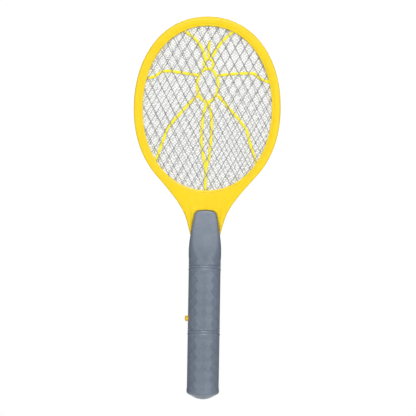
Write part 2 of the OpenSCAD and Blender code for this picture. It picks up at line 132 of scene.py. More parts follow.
# The handle's tongues, which lap over the frame's neck
TONGUE_FOOT_Z = 221.0
TONGUE_FOOT_HALF_W = 18.3
TONGUE_HALF_W = 14.9
TONGUE_SHOULDER_Z = 242.0
TONGUE_CORNER = 5.0
TONGUE_ROUND_Z = 240.0
TONGUE_ARCH_R = 46.0
TONGUE_BEVEL_Z = 244.7
TONGUE_TIP_Z = 246.4
SEAT_Y = HALF_T - 0.65
SEAT_GAP = 1.1
SEAT_GROOVE = 1.1

# Grip pattern: rows of diamonds round the handle
GRIP_ROUND = 9
GRIP_TALL = 14.24
GRIP_PHASE = 0.975
GRIP_INSET = 0.45
GRIP_RISE = 0.24
GRIP_HOLLOW = 0.52
GRIP_FADE_IN = (11.0, 16.0)
GRIP_FADE_OUT = (180.0, 188.0)


# ---------------------------------------------------------------- outlines in the X-Z plane

def oval_point(half_w, half_h, power, centre_z, degrees):
    c, s = math.cos(math.radians(degrees)), math.sin(math.radians(degrees))
    x = half_w * math.copysign(abs(c) ** (2 / power), c)
    z = centre_z + half_h * math.copysign(abs(s) ** (2 / power), s)
    return np.array([x, z])


def window_point(degrees, out=0.0):
    return oval_point(WINDOW_HALF_W + out, WINDOW_HALF_H + out, WINDOW_POWER, WINDOW_Z, degrees)


def head_point(degrees):
    if degrees >= 0:
        return oval_point(HEAD_HALF_W, HEAD_UP, HEAD_POWER_UP, HEAD_Z, degrees)
    return oval_point(HEAD_HALF_W, HEAD_DOWN, HEAD_POWER_DOWN, HEAD_Z, degrees)


def bezier(p0, p1, p2, p3, count):
    p0, p1, p2, p3 = (np.array(p, float) for p in (p0, p1, p2, p3))
    out = []
    for i in range(count + 1):
        t = i / count
        s = 1 - t
        out.append(s**3 * p0 + 3 * s * s * t * p1 + 3 * s * t * t * p2 + t**3 * p3)
    return out


def unit(v):
    return v / max(np.linalg.norm(v), 1e-9)


def smoothstep(a, b, x):
    t = np.clip((x - a) / (b - a), 0.0, 1.0)
    return t * t * (3 - 2 * t)


# ---------------------------------------------------------------- mesh helpers

def new_object(name, verts_mm, faces, sharp=32):
    mesh = bpy.data.meshes.new(name)
    mesh.from_pydata([tuple(float(c) * MM for c in v) for v in verts_mm], [], faces)
    bm = bmesh.new()
    bm.from_mesh(mesh)
    bmesh.ops.remove_doubles(bm, verts=bm.verts, dist=1e-7)
    bmesh.ops.recalc_face_normals(bm, faces=bm.faces)
    bm.to_mesh(mesh)
    bm.free()
    obj = bpy.data.objects.new(name, mesh)
    bpy.context.scene.collection.objects.link(obj)
    smooth(obj, sharp)
    return obj


def smooth(obj, sharp=32):
    obj.data.shade_smooth()
    obj.data.set_sharp_from_angle(angle=math.radians(sharp))


def grid_faces(rows, columns, close_rows=False, close_columns=False):
    faces = []
    for r in range(rows if close_rows else rows - 1):
        for c in range(columns if close_columns else columns - 1):
            r2, c2 = (r + 1) % rows, (c + 1) % columns
            faces.append((r * columns + c, r * columns + c2, r2 * columns + c2, r2 * columns + c))
    return faces


def tube_faces(rings, sides):
    """Faces of a stack of rings, closed at both ends."""
    faces = grid_faces(rings, sides, close_columns=True)
    return faces + [tuple(range(sides)), tuple(range(rings * sides - 1, (rings - 1) * sides - 1, -1))]


def add_part(verts, faces, points, quads):
    """Appends a part of a mesh to the lists of its vertices and faces."""
    start = len(verts)
    verts.extend(points)
    faces.extend(tuple(start + i for i in quad) for quad in quads)


def block(name, low, high):
    """A closed box used only to cut with."""
    xs, ys, zs = zip(low, high)
    verts = [(x, y, z) for x in xs for y in ys for z in zs]
    faces = [(0, 1, 3, 2), (4, 6, 7, 5), (0, 4, 5, 1), (2, 3, 7, 6), (0, 2, 6, 4), (1, 5, 7, 3)]
    return new_object(name, verts, faces)


def rod(name, start, end, radius, sides=48):
    """A closed rod from start to end, used only to cut with."""
    start, end = np.array(start, float), np.array(end, float)
    along = unit(end - start)
    u = unit(np.cross(along, [0.3, 0.5, 0.8]))
    v = np.cross(along, u)
    rings = []
    for at in (start, end):
        for k in range(sides):
            a = 2 * math.pi * k / sides
            rings.append(at + radius * (math.cos(a) * u + math.sin(a) * v))
    return new_object(name, rings, tube_faces(2, sides))


def cut(obj, tools, operation="DIFFERENCE"):
    """Applies a boolean with each tool, and deletes the tools."""
    for tool in tools:
        step = obj.modifiers.new("cut", "BOOLEAN")
        step.operation = operation
        step.solver = "MANIFOLD"
        step.object = tool
    depsgraph = bpy.context.evaluated_depsgraph_get()
    result = bpy.data.meshes.new_from_object(obj.evaluated_get(depsgraph))
    obj.modifiers.clear()
    obj.data = result
    for tool in tools:
        bpy.data.objects.remove(tool)
    smooth(obj)
    return obj


def duplicate(obj, name):
    twin = obj.copy()
    twin.data = obj.data.copy()
    twin.name = name
    bpy.context.scene.collection.objects.link(twin)
    return twin


def revolve(name, profile, axis_at, axis, sides):
    """Turns a profile of (radius, position along the axis) pairs; both ends are closed."""
    verts = []
    for r, h in profile:
        for k in range(sides):
            a = 2 * math.pi * k / sides
            u, v = r * math.cos(a), r * math.sin(a)
            offset = {"Z": (u, v, h), "X": (h, u, v)}[axis]
            verts.append(tuple(axis_at[i] + offset[i] for i in range(3)))
    return new_object(name, verts, tube_faces(len(profile), sides), sharp=40)


def loose_parts(node):
    """(lowest, highest) corner in mm of each separate solid of a CAD node."""
    bm = bmesh.new()
    bm.from_mesh(frame["nodes"][node].data)
    bmesh.ops.remove_doubles(bm, verts=bm.verts, dist=1e-6)
    left = set(bm.verts)
    parts = []
    while left:
        stack = [left.pop()]
        part = list(stack)
        while stack:
            for edge in stack.pop().link_edges:
                for vert in edge.verts:
                    if vert in left:
                        left.discard(vert)
                        stack.append(vert)
                        part.append(vert)
        points = np.array([v.co for v in part]) / MM
        parts.append((points.min(0), points.max(0)))
    bm.free()
    return sorted(parts, key=lambda p: (round(p[0][2]), p[0][0]))


def screw_wells(node, shank_r, well_r, head_t):
    """Cutters for the shank and for the sunk head of each screw of a CAD node."""
    wells = []
    for low, high in loose_parts(node):
        x, z = (low[0] + high[0]) / 2, (low[2] + high[2]) / 2
        wells.append(rod("well", (x, high[1] - head_t, z), (x, 40, z), well_r))
        wells.append(rod("shank", (x, -1, z), (x, 30, z), shank_r))
    return wells


# ---------------------------------------------------------------- materials

def node_material(name):
    mat = bpy.data.materials.new(name)
    mat.use_nodes = True
    nodes, links = mat.node_tree.nodes, mat.node_tree.links
    shader = nodes["Principled BSDF"]
    where = nodes.new("ShaderNodeTexCoord")
    return mat, nodes, links, shader, where.outputs["Object"]


def noise_node(nodes, links, where, scale, detail=3.0, rough=0.5):
    tex = nodes.new("ShaderNodeTexNoise")
    tex.inputs["Scale"].default_value = scale
    tex.inputs["Detail"].default_value = detail
    tex.inputs["Roughness"].default_value = rough
    links.new(where, tex.inputs["Vector"])
    return tex.outputs["Fac"]


def ramp_node(nodes, links, factor, stops, interpolation="LINEAR"):
    ramp = nodes.new("ShaderNodeValToRGB")
    ramp.color_ramp.interpolation = interpolation
    while len(ramp.color_ramp.elements) < len(stops):
        ramp.color_ramp.elements.new(0.5)
    for element, (at, colour) in zip(ramp.color_ramp.elements, stops):
        element.position = at
        element.color = (*colour, 1.0)
    links.new(factor, ramp.inputs["Fac"])
    return ramp.outputs["Color"]


def range_node(nodes, links, value, low, high, from_low=0.0, from_high=1.0):
    node = nodes.new("ShaderNodeMapRange")
    node.inputs["From Min"].default_value = from_low
    node.inputs["From Max"].default_value = from_high
    node.inputs["To Min"].default_value = low
    node.inputs["To Max"].default_value = high
    links.new(value, node.inputs["Value"])
    return node.outputs["Result"]


def bump_node(nodes, links, height, strength, distance):
    bump = nodes.new("ShaderNodeBump")
    bump.inputs["Strength"].default_value = strength
    bump.inputs["Distance"].default_value = distance
    links.new(height, bump.inputs["Height"])
    return bump.outputs["Normal"]


def mix_colour(nodes, links, factor, a, b):
    mix = nodes.new("ShaderNodeMix")
    mix.data_type = "RGBA"
    links.new(factor, mix.inputs["Factor"])
    for socket, value in ((mix.inputs[6], a), (mix.inputs[7], b)):
        if isinstance(value, tuple):
            socket.default_value = (*value, 1.0)
        else:
            links.new(value, socket)
    return mix.outputs[2]


def moulded_plastic(name, colour, rough, grain, grain_scale, mottle=0.06, wear_and_sheen=0.25, coat=0.0,
                    scatter=0.0, specular=0.5):
    """Injection-moulded plastic: spark-eroded grain, faint flow mottling, convex edges painted paler, part
    wear and part painted edge highlight.
    """
    mat, nodes, links, shader, where = node_material(name)
    broad = noise_node(nodes, links, where, 22.0, 4.0)
    dark = tuple(c * (1 - mottle) for c in colour)
    light = tuple(min(1.0, c * (1 + mottle)) for c in colour)
    base = ramp_node(nodes, links, broad, [(0.32, dark), (0.68, light)])
    # Paler convex edges, found by pointiness: part real wear, part painted edge highlight
    edges = nodes.new("ShaderNodeNewGeometry")
    worn_and_highlit = range_node(nodes, links, edges.outputs["Pointiness"], 0.0, wear_and_sheen, 0.515, 0.56)
    pale = tuple(min(1.0, c * 1.25 + 0.03) for c in colour)
    base = mix_colour(nodes, links, worn_and_highlit, base, pale)
    links.new(base, shader.inputs["Base Color"])
    fine = noise_node(nodes, links, where, grain_scale, 2.0)
    smudge = noise_node(nodes, links, where, 60.0, 5.0, 0.6)
    links.new(range_node(nodes, links, smudge, rough - 0.07, rough + 0.09, 0.3, 0.7),
              shader.inputs["Roughness"])
    links.new(bump_node(nodes, links, fine, grain, 0.0002), shader.inputs["Normal"])
    shader.inputs["IOR"].default_value = 1.49
    shader.inputs["Specular IOR Level"].default_value = specular
    shader.inputs["Coat Weight"].default_value = coat
    shader.inputs["Coat Roughness"].default_value = 0.25
    shader.inputs["Subsurface Weight"].default_value = scatter
    shader.inputs["Subsurface Radius"].default_value = (1.0, 0.6, 0.1)
    shader.inputs["Subsurface Scale"].default_value = 0.002
    return mat


def metal(name, colour, rough, brushed=0.15, tarnish=0.3):
    """Sheet or wire: drawn streaks, a little tarnish that dulls and darkens it in patches."""
    mat, nodes, links, shader, where = node_material(name)
    patches = noise_node(nodes, links, where, 140.0, 5.0, 0.65)
    dull = tuple(c * (1 - tarnish) for c in colour)
    links.new(ramp_node(nodes, links, patches, [(0.35, dull), (0.65, colour)]),
              shader.inputs["Base Color"])
    shader.inputs["Metallic"].default_value = 1.0
    links.new(range_node(nodes, links, patches, rough + 0.12, rough - 0.05, 0.3, 0.7),
              shader.inputs["Roughness"])
    streaks = noise_node(nodes, links, where, 1800.0, 2.0)
    links.new(bump_node(nodes, links, streaks, brushed, 0.0001), shader.inputs["Normal"])
    return mat


def coated(name, colour, rough, mottle=0.12, bump=0.25, scale=300.0):
    """Dipped, printed or sintered electronic part."""
    mat, nodes, links, shader, where = node_material(name)
    patches = noise_node(nodes, links, where, scale, 4.0, 0.6)
    dark = tuple(c * (1 - mottle) for c in colour)
    light = tuple(min(1.0, c * (1 + mottle)) for c in colour)
    links.new(ramp_node(nodes, links, patches, [(0.3, dark), (0.7, light)]),
              shader.inputs["Base Color"])
    links.new(range_node(nodes, links, patches, rough - 0.06, rough + 0.1, 0.3, 0.7),
              shader.inputs["Roughness"])
    links.new(bump_node(nodes, links, patches, bump, 0.0002), shader.inputs["Normal"])
    return mat


def circuit_laminate():
    """Green solder mask over copper tracks."""
    mat, nodes, links, shader, where = node_material("circuit_laminate")
    cells = nodes.new("ShaderNodeTexVoronoi")
    cells.feature = "DISTANCE_TO_EDGE"
    cells.inputs["Scale"].default_value = 160.0
    links.new(where, cells.inputs["Vector"])
    track = range_node(nodes, links, cells.outputs["Distance"], 1.0, 0.0, 0.05, 0.07)
    base = mix_colour(nodes, links, track, (0.02, 0.12, 0.05), (0.05, 0.22, 0.09))
    links.new(base, shader.inputs["Base Color"])
    links.new(bump_node(nodes, links, track, 0.3, 0.0001), shader.inputs["Normal"])
    rough = noise_node(nodes, links, where, 200.0)
    links.new(range_node(nodes, links, rough, 0.25, 0.45), shader.inputs["Roughness"])
    return mat


def cell_sleeve(low_z, high_z):
    """Printed cell sleeve: metal ends, a blue body and a pale band near one end."""
    mat, nodes, links, shader, where = node_material("cell_sleeve_%d" % round(low_z))
    split = nodes.new("ShaderNodeSeparateXYZ")
    links.new(where, split.inputs["Vector"])
    along = range_node(nodes, links, split.outputs["Z"], 0.0, 1.0, low_z * MM, high_z * MM)
    stops = [(0.0, (0.6, 0.6, 0.6)), (0.03, (0.03, 0.09, 0.3)), (0.74, (0.75, 0.75, 0.72)),
             (0.78, (0.03, 0.09, 0.3)), (0.95, (0.6, 0.6, 0.6))]
    bands = ramp_node(nodes, links, along, stops, "CONSTANT")
    scuff = noise_node(nodes, links, where, 400.0, 5.0)
    links.new(mix_colour(nodes, links, range_node(nodes, links, scuff, 0.0, 0.25, 0.55, 0.8),
                         bands, (0.5, 0.5, 0.52)), shader.inputs["Base Color"])
    links.new(range_node(nodes, links, scuff, 0.18, 0.4), shader.inputs["Roughness"])
    links.new(bump_node(nodes, links, scuff, 0.1, 0.0001), shader.inputs["Normal"])
    shader.inputs["Metallic"].default_value = 0.35
    return mat


yellow_plastic = moulded_plastic("yellow_plastic", (0.88, 0.625, 0.008), 0.36, 0.12, 900.0,
                                 mottle=0.015, wear_and_sheen=0.15, scatter=0.15, specular=0.35)
spacer_plastic = moulded_plastic("spacer_plastic", (0.93, 0.80, 0.01), 0.4, 0.1, 900.0,
                                 mottle=0.02, wear_and_sheen=0.1, scatter=0.15)
grey_plastic = moulded_plastic("grey_plastic", (0.155, 0.188, 0.238), 0.26, 0.12, 1400.0,
                               mottle=0.07, wear_and_sheen=0.2)
button_plastic = moulded_plastic("button_plastic", (0.84, 0.5, 0.003), 0.34, 0.1, 900.0,
                                 mottle=0.02, wear_and_sheen=0.2, coat=0.05, scatter=0.1)
black_plastic = moulded_plastic("black_plastic", (0.02, 0.02, 0.022), 0.45, 0.2, 1200.0)
guard_wire = metal("guard_wire", (0.38, 0.38, 0.39), 0.42, tarnish=0.35)
charged_wire = metal("charged_wire", (0.84, 0.84, 0.83), 0.6, tarnish=0.2)
screw_steel = metal("screw_steel", (0.6, 0.6, 0.62), 0.3)
contact_metal = metal("contact_metal", (0.78, 0.76, 0.72), 0.25)

SLOT_MATERIALS = {
    "black_plastic": black_plastic,
    "board_laminate": circuit_laminate(),
    "ferrite": coated("ferrite", (0.035, 0.037, 0.04), 0.7, 0.2, 0.5, 900.0),
    "winding_tape": coated("winding_tape", (0.72, 0.42, 0.05), 0.4, 0.06, 0.3, 200.0),
    "capacitor_coating": coated("capacitor_coating", (0.33, 0.06, 0.025), 0.25, 0.1, 0.2, 250.0),
    "resistor_coating": coated("resistor_coating", (0.58, 0.38, 0.19), 0.4, 0.1, 0.2, 900.0),
    "contact_metal": contact_metal,
    "red_insulation": coated("red_insulation", (0.5, 0.02, 0.02), 0.4, 0.05, 0.1, 500.0),
    "black_insulation": coated("black_insulation", (0.02, 0.02, 0.02), 0.4, 0.1, 0.1, 500.0),
    "white_insulation": coated("white_insulation", (0.8, 0.8, 0.77), 0.4, 0.03, 0.1, 500.0),
    "screw_steel": screw_steel,
}


def finish_piece(obj, material, body, slot, *nodes):
    obj.data.materials.clear()
    obj.data.materials.append(material)
    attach(obj, body)
    if nodes:
        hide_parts(*nodes)
    return obj


# ---------------------------------------------------------------- handle outlines

neck_curve = np.array(bezier((TONGUE_FOOT_HALF_W, TONGUE_FOOT_Z), (19.0, 216.5), (20.6, 209),
                             (GRIP_R, 196), 40))[::-1]


def half_width(z):
    """Half the handle's width, seen from the front."""
    if z <= TONGUE_FOOT_Z:
        return min(GRIP_R, float(np.interp(z, neck_curve[:, 1], neck_curve[:, 0])))
    w = float(np.interp(z, (TONGUE_FOOT_Z, TONGUE_SHOULDER_Z), (TONGUE_FOOT_HALF_W, TONGUE_HALF_W)))
    rise = z - (TONGUE_TOP - TONGUE_CORNER)
    if rise > 0:
        w -= TONGUE_CORNER - math.sqrt(max(TONGUE_CORNER**2 - rise**2, 0.0))
    return w


def tongue_sag(x, z):
    """How far the tongue's arched tip drops towards its sides."""
    return float(smoothstep(228, 246, z)) * x * x / (2 * TONGUE_ARCH_R)


def half_depth(z):
    """Half the handle's depth, seen from the side: a flat slope blended into the round grip,
    with a narrow bevel at the tongue's tip."""
    (foot_d, foot_z), (top_d, top_z) = SLOPE_FOOT, SLOPE_TOP
    slope = top_d + (top_z - z) * (foot_d - top_d) / (top_z - foot_z)
    d = -SLOPE_BLEND * math.log(math.exp(-GRIP_R / SLOPE_BLEND) + math.exp(-slope / SLOPE_BLEND))
    return d - 0.24 * max(0.0, z - TONGUE_BEVEL_Z)


def section_power(z):
    """Power of the handle's superelliptic section: round in the grip, nearly square at the tongues."""
    return 2.0 + 2.6 * float(smoothstep(182.0, 212.0, z)) + 4.4 * float(smoothstep(208.0, 236.0, z))


# ---------------------------------------------------------------- yellow frame

def frame_columns():
    """Matching points of the frame's outer outline and of the window, once round, from the top."""
    head = [(head_point(t), t) for t in np.linspace(90, FLARE_START, 110)]
    outer = [p for p, _ in head]
    inner_angles = [t for _, t in head]
    flare = bezier(outer[-1], (30, 252), (27, 246), (NECK_HALF_W, NECK_Z), 60)[1:]
    last_x = 6.0
    tang = [(NECK_HALF_W - 0.3, NECK_Z - 0.02), (TANG_HALF_W + 0.3, NECK_Z - 0.04),
            (TANG_HALF_W, NECK_Z - 0.3), (TANG_HALF_W, 208.0), (TANG_HALF_W, TANG_Z + 0.3),
            (TANG_HALF_W - 0.3, TANG_Z), (last_x, TANG_Z)]
    rest = flare + [np.array(p) for p in tang]
    path = np.cumsum([np.linalg.norm(b - a) for a, b in zip([outer[-1]] + rest[:-1], rest)])
    total = path[-1] + last_x
    inner_angles += [FLARE_START + (-90 - FLARE_START) * (s / total) for s in path]
    outer += rest
    right = list(zip(outer, inner_angles))
    left = [(np.array([-p[0], p[1]]), 180 - t) for p, t in right[::-1]]
    pairs = right + [(np.array([0.0, TANG_Z]), -90.0)] + left[:-1]
    return [p for p, _ in pairs], [t for _, t in pairs]


def inward_normals(points):
    """Unit normals that point into a closed outline that runs clockwise."""
    normals = []
    for i in range(len(points)):
        along = unit(points[(i + 1) % len(points)] - points[i - 1])
        normals.append(np.array([along[1], -along[0]]))
    centre = np.mean(points, axis=0)
    if np.dot(normals[0], centre - points[0]) < 0:
        normals = [-n for n in normals]
    return normals


def edge_profile():
    """(distance in from the outer outline, depth), from the parting line round the edge to the face."""
    rows = [(PARTING_CHAMFER, 0.0), (0.0, PARTING_CHAMFER), (0.0, FACE_Y - EDGE_FILLET)]
    for a in range(10, 91, 10):
        s, c = math.sin(math.radians(a)), math.cos(math.radians(a))
        rows.append((EDGE_FILLET * (1 - c), FACE_Y - EDGE_FILLET * (1 - s)))
    return rows


def lip_profile():
    """(distance out from the window, depth), from the face over the lip's rounded edge to the window,
    then into the seat of the clamped stack."""
    return [(LIP_W + 0.95, FACE_Y + 0.04), (LIP_W + 0.6, FACE_Y - 0.05), (LIP_W + 0.3, FACE_Y - 0.2),
            (LIP_W + 0.12, FACE_Y - 0.45), (LIP_W, LIP_Y + 0.3), (LIP_W - 0.15, LIP_Y + 0.06),
            (LIP_W - 0.4, LIP_Y - 0.02), (0.6, LIP_Y - 0.2), (0.2, LIP_Y - 0.38),
            (0.0, LIP_Y - 0.75), (0.0, STACK_HALF), (SEAT, STACK_HALF), (SEAT, 0.0)]


def frame_half(name, side, crown_rows=9):
    """One half of the frame; side is -1 for the front and 1 for the rear."""
    outer, angles = frame_columns()
    inner = [window_point(t) for t in angles]
    inward = inward_normals(outer)
    outward = [window_point(t, 1.0) - window_point(t) for t in angles]
    count = len(outer)
    rows = []
    for d, y in edge_profile():
        rows.append([(outer[i] + inward[i] * d, y) for i in range(count)])
    start = [p for p, _ in rows[-1]]
    end = [inner[i] + outward[i] * lip_profile()[0][0] for i in range(count)]
    for m in range(1, crown_rows + 1):
        f = m / (crown_rows + 1)
        rise = HALF_T - CROWN * (2 * f - 1) ** 2
        rows.append([(start[i] * (1 - f) + end[i] * f, rise) for i in range(count)])
    for d, y in lip_profile():
        rows.append([(inner[i] + outward[i] * d, y) for i in range(count)])
    verts = [(p[0], side * y, p[1]) for row in rows for p, y in row]
    faces = grid_faces(len(rows), count, close_rows=True, close_columns=True)
    return new_object(name, verts, faces, sharp=38)


def tongue_outline_solid(side, grow, bottom, floor):
    """Solid over the handle's tongue, grown by grow, from bottom up and from floor outwards."""
    outline = []
    straight = np.linspace(bottom, TONGUE_ROUND_Z, 24)
    rounded = np.linspace(TONGUE_ROUND_Z + 1, TONGUE_TOP, 13)
    for z in (*straight, *rounded):
        w = half_width(z) + grow
        up = max(0.0, z - TONGUE_ROUND_Z) / (TONGUE_TOP - TONGUE_ROUND_Z)
        outline.append((w, z + grow * up - tongue_sag(w, z)))
    outline.append((0.0, TONGUE_TOP + grow))
    outline += [(-x, z) for x, z in outline[-2::-1]]
    verts = [(x, y, z) for y in (side * floor, side * 9.0) for x, z in outline]
    return new_object("seat", verts, tube_faces(2, len(outline)))


def tongue_seat(side):
    """Cutters for the tongue's shallow seat in the frame's face and the deeper groove round it."""
    seat = tongue_outline_solid(side, SEAT_GAP, NECK_Z, SEAT_Y)
    groove = tongue_outline_solid(side, SEAT_GAP, NECK_Z + 4.5, SEAT_Y - SEAT_GROOVE)
    cut(groove, [tongue_outline_solid(side, -0.8, NECK_Z + 3.0, SEAT_Y - 2.0)])
    return [seat, groove]


frame_front = frame_half("racket_frame_front", -1)
cut(frame_front, tongue_seat(-1))
finish_piece(frame_front, yellow_plastic, "root", "frame_plastic", "frame_front")

frame_rear = frame_half("racket_frame_rear", 1)
cut(frame_rear, screw_wells("frame_screws", FRAME_SHANK_R, FRAME_WELL_R, FRAME_HEAD_T) + tongue_seat(1))
finish_piece(frame_rear, yellow_plastic, "root", "frame_plastic", "frame_rear")


# ---------------------------------------------------------------- meshes

def inside_oval(x, z, out):
    u = np.abs(x) / (WINDOW_HALF_W + out)
    v = np.abs(z - WINDOW_Z) / (WINDOW_HALF_H + out)
    return u**WINDOW_POWER + v**WINDOW_POWER < 1.0


def strand_ends(anchor, direction, step, out):
    """End points of the straight strands of one family, clipped to the window's outline."""
    strands = []
    along = np.arange(-330, 330, 0.5)
    for k in range(-60, 61):
        base = anchor + step * k
        hits = along[inside_oval(base[0] + direction[0] * along, base[1] + direction[1] * along, out)]
        if len(hits) > 4:
            strands.append((base + direction * hits[0], base + direction * hits[-1]))
    return strands


def clamped_ring(y, thick, inner_out, count):
    """Flat ring round the window, from inner_out outwards, which the frame halves clamp."""
    points = []
    for out, side in ((inner_out, -0.5), (STACK_OUT, -0.5), (STACK_OUT, 0.5), (inner_out, 0.5)):
        for k in range(count):
            p = window_point(360 * k / count, out)
            points.append((p[0], y + side * thick, p[1]))
    return points, grid_faces(4, count, close_rows=True, close_columns=True)


# Section of a strand, as parts of its width and thickness
STRAND_SECTION = [(-0.5, 0.0), (-0.32, -0.42), (0.0, -0.5), (0.32, -0.42),
                  (0.5, 0.0), (0.32, 0.42), (0.0, 0.5), (-0.32, 0.42)]


def strand(start, end, y, wire, thick):
    """One straight strand with rounded edges."""
    along = unit(end - start)
    across = np.array([-along[1], along[0]])
    points = []
    for tip in (start, end):
        for w, t in STRAND_SECTION:
            at = tip + across * w * wire
            points.append((at[0], y + t * thick, at[1]))
    return points, tube_faces(2, len(STRAND_SECTION))


def knuckle_boss(at, right, up, y, half_w, half_h, thick):
    """Thick eight-sided knuckle with sloped faces, front and rear, where two strands meet."""
    ring = []
    for k in range(8):
        b = math.pi * k / 4
        ring.append(at + right * math.cos(b) * half_w + up * math.sin(b) * half_h)
    inner = [at + (p - at) * 0.55 for p in ring]
    half = thick * 0.5
    points = [(p[0], y - half * 0.5, p[1]) for p in ring]
    points += [(p[0], y + half * 0.5, p[1]) for p in ring]
    points += [(p[0], y - half, p[1]) for p in inner]
    points += [(p[0], y + half, p[1]) for p in inner]
    quads = []
    for k in range(8):
        n = (k + 1) % 8
        quads.append((k, n, 8 + n, 8 + k))
        quads.append((16 + k, 16 + n, n, k))
        quads.append((8 + k, 8 + n, 24 + n, 24 + k))
    quads += [tuple(range(16, 24)), tuple(range(31, 23, -1))]
    return points, quads


def lattice(name, y, cell_w, cell_h, wire, thick, turn, anchor, knuckle):
    """Expanded-metal mesh: two families of flat strands that cross at thicker knuckles, and a rim."""
    a = math.radians(turn)
    right = np.array([math.cos(a), math.sin(a)])
    up = np.array([-math.sin(a), math.cos(a)])
    anchor = np.array(anchor, float)
    verts, faces = [], []
    for slope in (-1, 1):
        direction = unit(right * cell_w + up * cell_h * slope)
        lifted = y + 0.06 * thick * slope
        for start, end in strand_ends(anchor, direction, right * cell_w, STACK_OUT - 0.7):
            add_part(verts, faces, *strand(start, end, lifted, wire, thick * 0.88))
    if knuckle:
        reach = int(260 / min(cell_w, cell_h)) * 2
        for i in range(-reach, reach + 1):
            for j in range(-reach + (i - reach) % 2, reach + 1, 2):
                at = anchor + right * i * cell_w / 2 + up * j * cell_h / 2
                if inside_oval(at[0], at[1], 1.0):
                    boss = knuckle_boss(at, right, up, y, wire * 1.05, knuckle, thick)
                    add_part(verts, faces, *boss)
    add_part(verts, faces, *clamped_ring(y, thick, 1.4, 180))
    return new_object(name, verts, faces, sharp=40)


def mesh_piece(name, node, material, cell_w, cell_h, wire, turn, anchor, knuckle):
    """One of the three meshes, at its CAD node's depth."""
    low, high = box_mm(node)
    y = (low.y + high.y) / 2
    obj = lattice(name, y, cell_w, cell_h, wire, MESH_T, turn, anchor, knuckle)
    return finish_piece(obj, material, "root", "mesh_wire", node)


# Width and height of a cell, and width of a wire; the guard meshes have tall knuckles
GUARD = 12.5, 22.3, 0.74
FINE = 5.4, 3.7, 0.95
KNUCKLE = 2.1
mesh_piece("guard_mesh_front", "front_mesh", guard_wire, *GUARD,
           turn=-1.2, anchor=(28.7, 448.6), knuckle=KNUCKLE)
mesh_piece("charged_mesh", "centre_mesh", charged_wire, *FINE,
           turn=-1.4, anchor=(0.0, WINDOW_Z), knuckle=0.0)
mesh_piece("guard_mesh_rear", "rear_mesh", guard_wire, *GUARD,
           turn=-4.2, anchor=(41.4, 448.8), knuckle=KNUCKLE)


# ---------------------------------------------------------------- spacers

# The insect's two oval loops and the lines of its ribs, from the window's middle
BODY_AT, BODY_HALF = np.array([0.0, 30.0]), (13.7, 21.8)
NOSE_AT, NOSE_HALF = np.array([1.0, 58.0]), (6.2, 6.8)
RIB_W = 3.6
RIBS = [
    [(-4, 64), (-7, 76), (-16, 89), (-31, 101)],
    [(-13, 43), (-36, 46), (-47, 47.6), (-57, 47.4), (-63, 45), (-69, 40.5), (-80, 37.5)],
    [(-10.5, 18), (-25, 4), (-46, -20), (-51.5, -27.5), (-57, -43), (-66, -69)],
    [(0, 8.4), (-4.6, -6), (-6.4, -26), (-6.6, -46), (-4, -64), (-0.6, -79)],
    [(6, 67), (12, 79), (21, 90), (33, 101)],
    [(14, 43), (31, 45), (48, 46.2), (60, 46), (66, 42), (73, 37.5), (83, 35)],
    [(13.6, 17), (29, 0), (50, -25), (56, -43), (65, -71)],
    [(0.6, 8.4), (5, -6), (6.2, -26), (5.2, -46), (3.4, -64), (-0.6, -79)],
    [(1, 65), (0.4, 77), (2.2, 88)],
    [(-0.6, -79), (-0.8, -93), (-1, -110)],
]


def spline_through(points, per_span=10):
    """Points of a Catmull-Rom curve through the given ones."""
    pts = [np.array(p, float) for p in points]
    pts = [2 * pts[0] - pts[1], *pts, 2 * pts[-1] - pts[-2]]
    out = []
    for i in range(1, len(pts) - 2):
        a, b, c, d = pts[i - 1:i + 3]
        for k in range(per_span):
            t = k / per_span
            out.append(0.5 * (2 * b + (c - a) * t + (2 * a - 5 * b + 4 * c - d) * t * t
                              + (3 * b - a - 3 * c + d) * t**3))
    out.append(pts[-2])
    return out


def rib_section(width, depth, power=3.2, count=20):
    """Rounded-rectangle section of a rib."""
    points = []
    for k in range(count):
        a = 2 * math.pi * k / count
        c, s = math.cos(a), math.sin(a)
        points.append((width / 2 * math.copysign(abs(c) ** (2 / power), c),
                       depth / 2 * math.copysign(abs(s) ** (2 / power), s)))
    return points


def add_rib(verts, faces, path, y, width, depth, closed):
    """Adds a rib swept along a path, which is a loop if closed."""
    section = rib_section(width, depth)
    points = []
    count = len(path)
    for i, at in enumerate(path):
        ahead = path[(i + 1) % count] if closed or i < count - 1 else path[i]
        behind = path[i - 1] if closed or i > 0 else path[i]
        along = unit(ahead - behind)
        across = np.array([-along[1], along[0]])
        for w, t in section:
            p = at + across * w
            points.append((p[0], y + t, p[1]))
    if closed:
        quads = grid_faces(count, len(section), close_rows=True, close_columns=True)
    else:
        quads = tube_faces(count, len(section))
    add_part(verts, faces, points, quads)


def spacer(name, node):
    """Insect-shaped spacer: ribs, two oval loops for its body, and the ring that the frame clamps."""
    low, high = box_mm(node)
    y, depth = (low.y + high.y) / 2, high.y - low.y
    origin = np.array([0.0, WINDOW_Z])
    verts, faces = [], []
    for points in RIBS:
        path = [origin + p for p in spline_through(points)]
        add_rib(verts, faces, path, y, RIB_W, depth - 0.02, False)
    for at, half in ((BODY_AT, BODY_HALF), (NOSE_AT, NOSE_HALF)):
        path = [origin + at + np.array([half[0] * math.cos(a), half[1] * math.sin(a)])
                for a in np.linspace(0, 2 * math.pi, 64, endpoint=False)]
        add_rib(verts, faces, path, y, RIB_W, depth - 0.02, True)
    add_part(verts, faces, *clamped_ring(y, depth, 0.5, 200))
    obj = new_object(name, verts, faces, sharp=50)
    return finish_piece(obj, spacer_plastic, "root", "spacer_plastic", node)


spacer("insect_spacer_front", "front_spacer")
spacer("insect_spacer_rear", "rear_spacer")


# ---------------------------------------------------------------- handle

def from_ring(z):
    """Distance along the handle from the middle of the nearer double ring."""
    return min(abs(z - ring - RING_MIDDLE) for ring in (RING_LOW_Z, RING_HIGH_Z))


